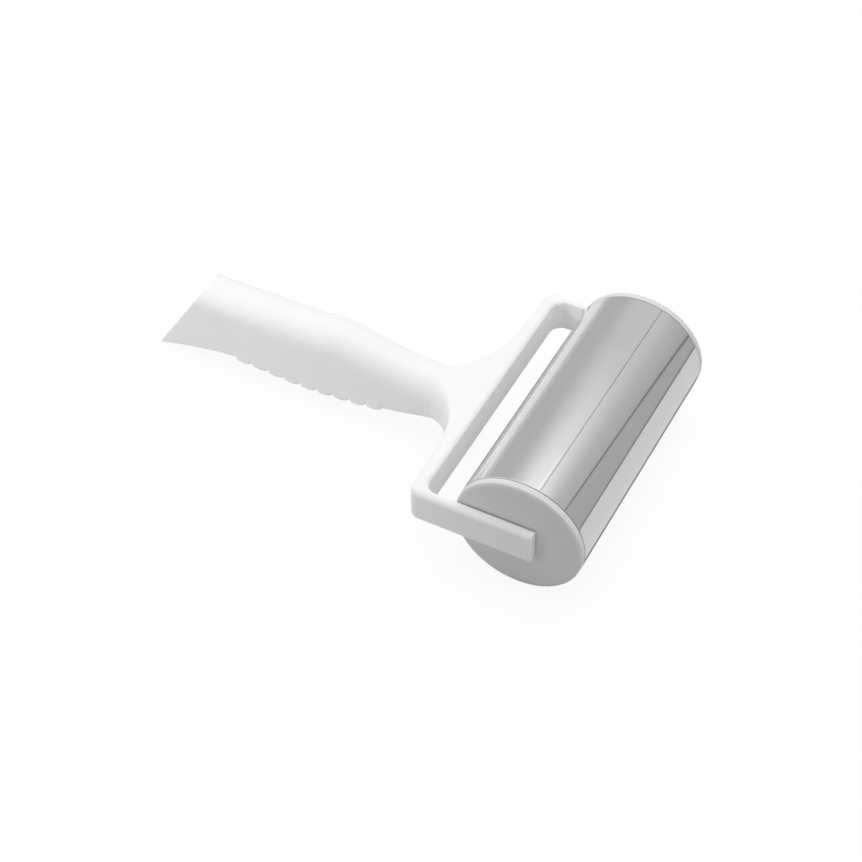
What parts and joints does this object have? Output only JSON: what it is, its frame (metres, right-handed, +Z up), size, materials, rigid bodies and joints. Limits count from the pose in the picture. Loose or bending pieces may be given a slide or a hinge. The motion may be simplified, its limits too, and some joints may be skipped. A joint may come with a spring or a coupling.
{
  "type": "pastry roller",
  "caption": "One-handed pastry roller: a polished steel roller with plastic end caps, held in a moulded fork with a scalloped grip.",
  "frame": {"origin": "on the surface the roller stands on, in the middle of the overall length and width", "axes": "+X from the grip to the roller, +Y along the roller's axis to the far arm, +Z up"},
  "size_m": [0.2058, 0.1162, 0.05],
  "materials": {
    "white_plastic": "smooth moulded white plastic, soft sheen",
    "cap_plastic": "smooth moulded off-white plastic, soft sheen",
    "polished_steel": "polished stainless steel",
    "axle_steel": "drawn steel rod",
    "nylon": "natural nylon"
  },
  "bodies": {
    "frame": {"handle_frame": "white_plastic", "axle": "axle_steel"},
    "roller": {"roller_sleeve": "polished_steel", "end_cap_near": "cap_plastic", "end_cap_far": "cap_plastic", "bush_near": "nylon", "bush_far": "nylon"}
  },
  "joints": [
    {"name": "roller_spin", "type": "hinge", "parent": "frame", "child": "roller", "pos_m": [0.078, 0, 0.025], "axis": [0, 1, 0], "continuous": true}
  ]
}
